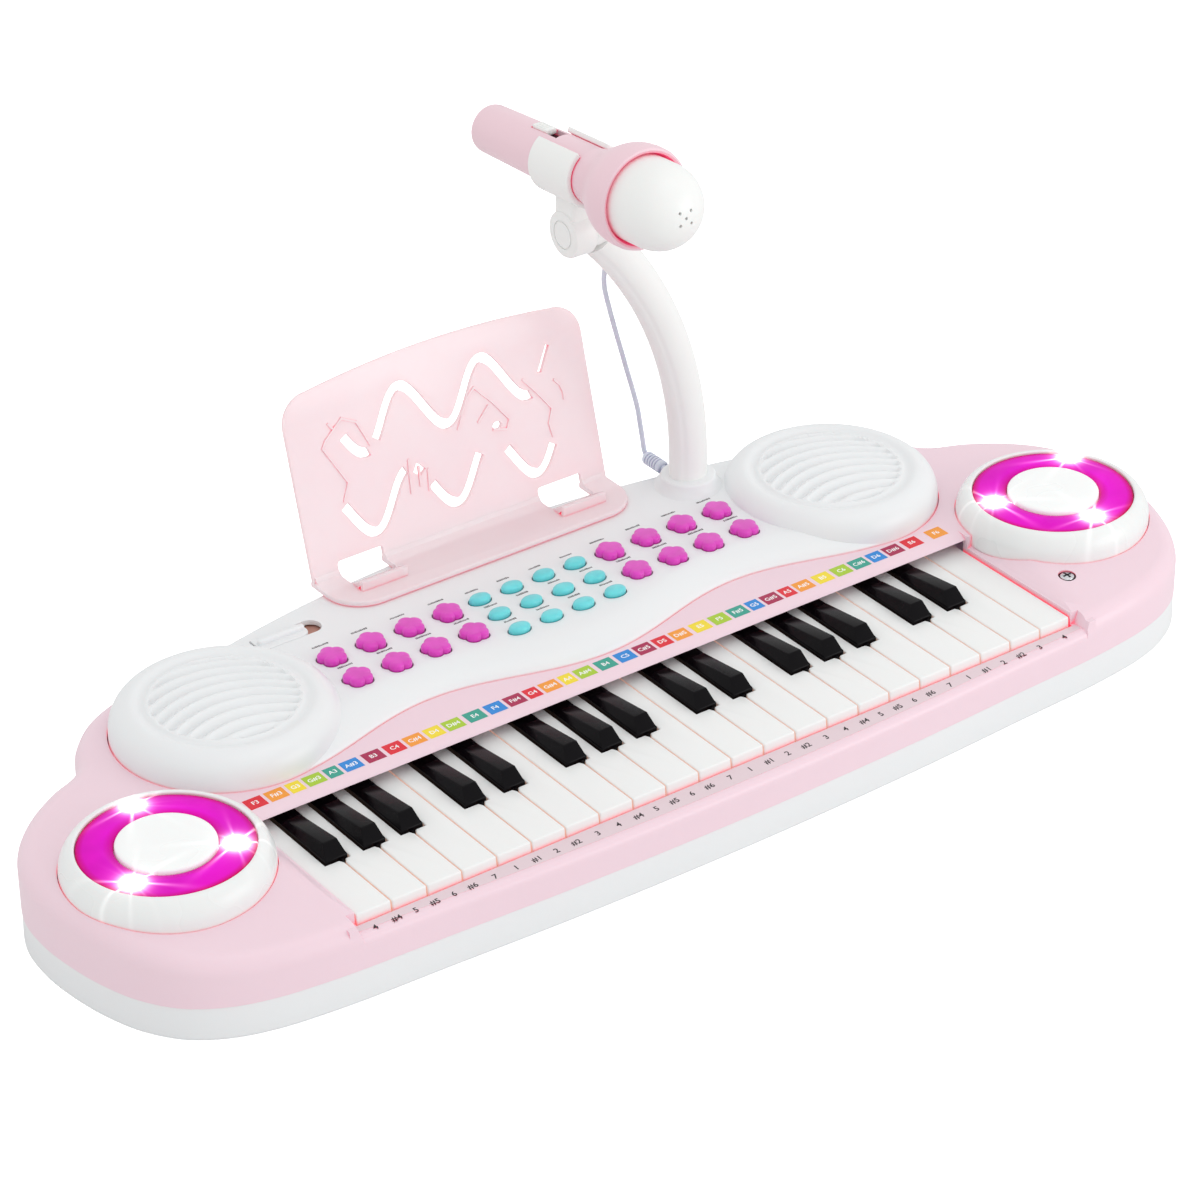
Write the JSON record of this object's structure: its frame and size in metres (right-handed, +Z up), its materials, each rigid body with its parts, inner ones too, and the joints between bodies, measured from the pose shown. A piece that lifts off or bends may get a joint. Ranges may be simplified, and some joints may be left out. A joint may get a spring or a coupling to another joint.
{
  "type": "toy electronic keyboard",
  "caption": "Children's electronic piano with rounded casing, lit drum pads at both ends, domed speakers, button panel, clip-on music stand and a microphone on a curved arm.",
  "frame": {"origin": "on the table plane, midway between the ends, below the front edge of the white keys' tops", "axes": "+X to the player's right, +Y to the back, +Z up"},
  "size_m": [0.601, 0.2678, 0.269],
  "materials": {
    "white_shell": "glossy injection-moulded white ABS",
    "pink_shell": "glossy injection-moulded pale pink ABS",
    "clear_pink": "translucent pale pink polystyrene",
    "drum_lens": "translucent magenta lens, lit from below",
    "drum_pad": "satin white touch pad",
    "white_key": "glossy white key",
    "black_key": "polished black key",
    "flower_rubber": "magenta silicone rubber",
    "teal_rubber": "turquoise silicone rubber",
    "mic_white": "glossy white plastic",
    "mic_pink": "glossy pale pink plastic",
    "cable": "soft pale grey-lilac cable sheath",
    "speaker": "pressed steel basket",
    "circuit_board": "green lacquered board",
    "case_screw": "bright plated screw",
    "note_label": "printed colour note labels"
  },
  "bodies": {
    "case": {"bottom_case": "white_shell", "top_case": "pink_shell", "control_panel": "white_shell", "main_board": "circuit_board", "left_speaker": "speaker", "right_speaker": "speaker", "left_drum_rim": "white_shell", "right_drum_rim": "white_shell", "left_drum_lens": "drum_lens", "right_drum_lens": "drum_lens"},
    "battery_cover": {"battery_cover": "white_shell"},
    "flower_buttons": {"flower_button_mat": "flower_rubber"},
    "instrument_buttons": {"instrument_button_mat": "teal_rubber"},
    "power_switch": {"power_slider": "white_shell"},
    "music_stand": {"music_stand": "clear_pink"},
    "mic_arm": {"mic_arm": "mic_white"},
    "mic_cable": {"mic_cable": "cable"},
    "mic_clip": {"mic_clip": "mic_white"},
    "mic": {"mic_body": "mic_pink", "mic_head": "mic_white"},
    "mic_switch": {"mic_switch": "mic_white"},
    "left_drum": {"left_drum_pad": "drum_pad"},
    "right_drum": {"right_drum_pad": "drum_pad"},
    "white_key_1": {"white_key_1": "white_key"},
    "white_key_2": {"white_key_2": "white_key"},
    "white_key_3": {"white_key_3": "white_key"},
    "white_key_4": {"white_key_4": "white_key"},
    "white_key_5": {"white_key_5": "white_key"},
    "white_key_6": {"white_key_6": "white_key"},
    "white_key_7": {"white_key_7": "white_key"},
    "white_key_8": {"white_key_8": "white_key"},
    "white_key_9": {"white_key_9": "white_key"},
    "white_key_10": {"white_key_10": "white_key"},
    "white_key_11": {"white_key_11": "white_key"},
    "white_key_12": {"white_key_12": "white_key"},
    "white_key_13": {"white_key_13": "white_key"},
    "white_key_14": {"white_key_14": "white_key"},
    "white_key_15": {"white_key_15": "white_key"},
    "white_key_16": {"white_key_16": "white_key"},
    "white_key_17": {"white_key_17": "white_key"},
    "white_key_18": {"white_key_18": "white_key"},
    "white_key_19": {"white_key_19": "white_key"},
    "white_key_20": {"white_key_20": "white_key"},
    "white_key_21": {"white_key_21": "white_key"},
    "white_key_22": {"white_key_22": "white_key"},
    "black_key_1": {"black_key_1": "black_key"},
    "black_key_2": {"black_key_2": "black_key"},
    "black_key_3": {"black_key_3": "black_key"},
    "black_key_4": {"black_key_4": "black_key"},
    "black_key_5": {"black_key_5": "black_key"},
    "black_key_6": {"black_key_6": "black_key"},
    "black_key_7": {"black_key_7": "black_key"},
    "black_key_8": {"black_key_8": "black_key"},
    "black_key_9": {"black_key_9": "black_key"},
    "black_key_10": {"black_key_10": "black_key"},
    "black_key_11": {"black_key_11": "black_key"},
    "black_key_12": {"black_key_12": "black_key"},
    "black_key_13": {"black_key_13": "black_key"},
    "black_key_14": {"black_key_14": "black_key"},
    "black_key_15": {"black_key_15": "black_key"}
  },
  "joints": [
    {"name": "mic_tilt", "type": "hinge", "parent": "mic_arm", "child": "mic_clip", "pos_m": [0.05, 0.1836, 0.2088], "axis": [1, 0, 0], "range_deg": [-35, 35]},
    {"name": "mic_pull_out", "type": "slide", "parent": "mic_clip", "child": "mic", "axis": [0, -0.9969, 0.0785], "range_m": [0, 0.058]},
    {"name": "mic_switch_slide", "type": "slide", "parent": "mic", "child": "mic_switch", "axis": [0, -0.9969, 0.0785], "range_m": [0, 0.006]},
    {"name": "mic_arm_lift_out", "type": "slide", "parent": "case", "child": "mic_arm", "axis": [0, 0, 1], "range_m": [0, 0.026]},
    {"name": "mic_cable_unplug", "type": "slide", "parent": "case", "child": "mic_cable", "axis": [0, 1, 0], "range_m": [0, 0.014]},
    {"name": "music_stand_lift_out", "type": "slide", "parent": "case", "child": "music_stand", "axis": [0, 0, 1], "range_m": [0, 0.012]},
    {"name": "power_slide", "type": "slide", "parent": "case", "child": "power_switch", "axis": [1, 0, 0], "range_m": [0, 0.0065]},
    {"name": "left_drum_press", "type": "slide", "parent": "case", "child": "left_drum", "axis": [0, 0, -1], "range_m": [0, 0.0015]},
    {"name": "right_drum_press", "type": "slide", "parent": "case", "child": "right_drum", "axis": [0, 0, -1], "range_m": [0, 0.0015]},
    {"name": "flower_buttons_press", "type": "slide", "parent": "case", "child": "flower_buttons", "axis": [0, 0, -1], "range_m": [0, 0.002]},
    {"name": "instrument_buttons_press", "type": "slide", "parent": "case", "child": "instrument_buttons", "axis": [0, 0, -1], "range_m": [0, 0.002]},
    {"name": "battery_cover_off", "type": "slide", "parent": "case", "child": "battery_cover", "axis": [0, 0, -1], "range_m": [0, 0.012]},
    {"name": "white_key_1_press", "type": "hinge", "parent": "case", "child": "white_key_1", "pos_m": [-0.189, 0.104, 0.033], "axis": [1, 0, 0], "range_deg": [0, 2.4]},
    {"name": "white_key_2_press", "type": "hinge", "parent": "case", "child": "white_key_2", "pos_m": [-0.171, 0.104, 0.033], "axis": [1, 0, 0], "range_deg": [0, 2.4]},
    {"name": "white_key_3_press", "type": "hinge", "parent": "case", "child": "white_key_3", "pos_m": [-0.153, 0.104, 0.033], "axis": [1, 0, 0], "range_deg": [0, 2.4]},
    {"name": "white_key_4_press", "type": "hinge", "parent": "case", "child": "white_key_4", "pos_m": [-0.135, 0.104, 0.033], "axis": [1, 0, 0], "range_deg": [0, 2.4]},
    {"name": "white_key_5_press", "type": "hinge", "parent": "case", "child": "white_key_5", "pos_m": [-0.117, 0.104, 0.033], "axis": [1, 0, 0], "range_deg": [0, 2.4]},
    {"name": "white_key_6_press", "type": "hinge", "parent": "case", "child": "white_key_6", "pos_m": [-0.099, 0.104, 0.033], "axis": [1, 0, 0], "range_deg": [0, 2.4]},
    {"name": "white_key_7_press", "type": "hinge", "parent": "case", "child": "white_key_7", "pos_m": [-0.081, 0.104, 0.033], "axis": [1, 0, 0], "range_deg": [0, 2.4]},
    {"name": "white_key_8_press", "type": "hinge", "parent": "case", "child": "white_key_8", "pos_m": [-0.063, 0.104, 0.033], "axis": [1, 0, 0], "range_deg": [0, 2.4]},
    {"name": "white_key_9_press", "type": "hinge", "parent": "case", "child": "white_key_9", "pos_m": [-0.045, 0.104, 0.033], "axis": [1, 0, 0], "range_deg": [0, 2.4]},
    {"name": "white_key_10_press", "type": "hinge", "parent": "case", "child": "white_key_10", "pos_m": [-0.027, 0.104, 0.033], "axis": [1, 0, 0], "range_deg": [0, 2.4]},
    {"name": "white_key_11_press", "type": "hinge", "parent": "case", "child": "white_key_11", "pos_m": [-0.009, 0.104, 0.033], "axis": [1, 0, 0], "range_deg": [0, 2.4]},
    {"name": "white_key_12_press", "type": "hinge", "parent": "case", "child": "white_key_12", "pos_m": [0.009, 0.104, 0.033], "axis": [1, 0, 0], "range_deg": [0, 2.4]},
    {"name": "white_key_13_press", "type": "hinge", "parent": "case", "child": "white_key_13", "pos_m": [0.027, 0.104, 0.033], "axis": [1, 0, 0], "range_deg": [0, 2.4]},
    {"name": "white_key_14_press", "type": "hinge", "parent": "case", "child": "white_key_14", "pos_m": [0.045, 0.104, 0.033], "axis": [1, 0, 0], "range_deg": [0, 2.4]},
    {"name": "white_key_15_press", "type": "hinge", "parent": "case", "child": "white_key_15", "pos_m": [0.063, 0.104, 0.033], "axis": [1, 0, 0], "range_deg": [0, 2.4]},
    {"name": "white_key_16_press", "type": "hinge", "parent": "case", "child": "white_key_16", "pos_m": [0.081, 0.104, 0.033], "axis": [1, 0, 0], "range_deg": [0, 2.4]},
    {"name": "white_key_17_press", "type": "hinge", "parent": "case", "child": "white_key_17", "pos_m": [0.099, 0.104, 0.033], "axis": [1, 0, 0], "range_deg": [0, 2.4]},
    {"name": "white_key_18_press", "type": "hinge", "parent": "case", "child": "white_key_18", "pos_m": [0.117, 0.104, 0.033], "axis": [1, 0, 0], "range_deg": [0, 2.4]},
    {"name": "white_key_19_press", "type": "hinge", "parent": "case", "child": "white_key_19", "pos_m": [0.135, 0.104, 0.033], "axis": [1, 0, 0], "range_deg": [0, 2.4]},
    {"name": "white_key_20_press", "type": "hinge", "parent": "case", "child": "white_key_20", "pos_m": [0.153, 0.104, 0.033], "axis": [1, 0, 0], "range_deg": [0, 2.4]},
    {"name": "white_key_21_press", "type": "hinge", "parent": "case", "child": "white_key_21", "pos_m": [0.171, 0.104, 0.033], "axis": [1, 0, 0], "range_deg": [0, 2.4]},
    {"name": "white_key_22_press", "type": "hinge", "parent": "case", "child": "white_key_22", "pos_m": [0.189, 0.104, 0.033], "axis": [1, 0, 0], "range_deg": [0, 2.4]},
    {"name": "black_key_1_press", "type": "hinge", "parent": "case", "child": "black_key_1", "pos_m": [-0.18216, 0.104, 0.033], "axis": [1, 0, 0], "range_deg": [0, 2.4]},
    {"name": "black_key_2_press", "type": "hinge", "parent": "case", "child": "black_key_2", "pos_m": [-0.16272, 0.104, 0.033], "axis": [1, 0, 0], "range_deg": [0, 2.4]},
    {"name": "black_key_3_press", "type": "hinge", "parent": "case", "child": "black_key_3", "pos_m": [-0.14346, 0.104, 0.033], "axis": [1, 0, 0], "range_deg": [0, 2.4]},
    {"name": "black_key_4_press", "type": "hinge", "parent": "case", "child": "black_key_4", "pos_m": [-0.11016, 0.104, 0.033], "axis": [1, 0, 0], "range_deg": [0, 2.4]},
    {"name": "black_key_5_press", "type": "hinge", "parent": "case", "child": "black_key_5", "pos_m": [-0.08946, 0.104, 0.033], "axis": [1, 0, 0], "range_deg": [0, 2.4]},
    {"name": "black_key_6_press", "type": "hinge", "parent": "case", "child": "black_key_6", "pos_m": [-0.05616, 0.104, 0.033], "axis": [1, 0, 0], "range_deg": [0, 2.4]},
    {"name": "black_key_7_press", "type": "hinge", "parent": "case", "child": "black_key_7", "pos_m": [-0.03672, 0.104, 0.033], "axis": [1, 0, 0], "range_deg": [0, 2.4]},
    {"name": "black_key_8_press", "type": "hinge", "parent": "case", "child": "black_key_8", "pos_m": [-0.01746, 0.104, 0.033], "axis": [1, 0, 0], "range_deg": [0, 2.4]},
    {"name": "black_key_9_press", "type": "hinge", "parent": "case", "child": "black_key_9", "pos_m": [0.01584, 0.104, 0.033], "axis": [1, 0, 0], "range_deg": [0, 2.4]},
    {"name": "black_key_10_press", "type": "hinge", "parent": "case", "child": "black_key_10", "pos_m": [0.03654, 0.104, 0.033], "axis": [1, 0, 0], "range_deg": [0, 2.4]},
    {"name": "black_key_11_press", "type": "hinge", "parent": "case", "child": "black_key_11", "pos_m": [0.06984, 0.104, 0.033], "axis": [1, 0, 0], "range_deg": [0, 2.4]},
    {"name": "black_key_12_press", "type": "hinge", "parent": "case", "child": "black_key_12", "pos_m": [0.08928, 0.104, 0.033], "axis": [1, 0, 0], "range_deg": [0, 2.4]},
    {"name": "black_key_13_press", "type": "hinge", "parent": "case", "child": "black_key_13", "pos_m": [0.10854, 0.104, 0.033], "axis": [1, 0, 0], "range_deg": [0, 2.4]},
    {"name": "black_key_14_press", "type": "hinge", "parent": "case", "child": "black_key_14", "pos_m": [0.14184, 0.104, 0.033], "axis": [1, 0, 0], "range_deg": [0, 2.4]},
    {"name": "black_key_15_press", "type": "hinge", "parent": "case", "child": "black_key_15", "pos_m": [0.16254, 0.104, 0.033], "axis": [1, 0, 0], "range_deg": [0, 2.4]}
  ]
}
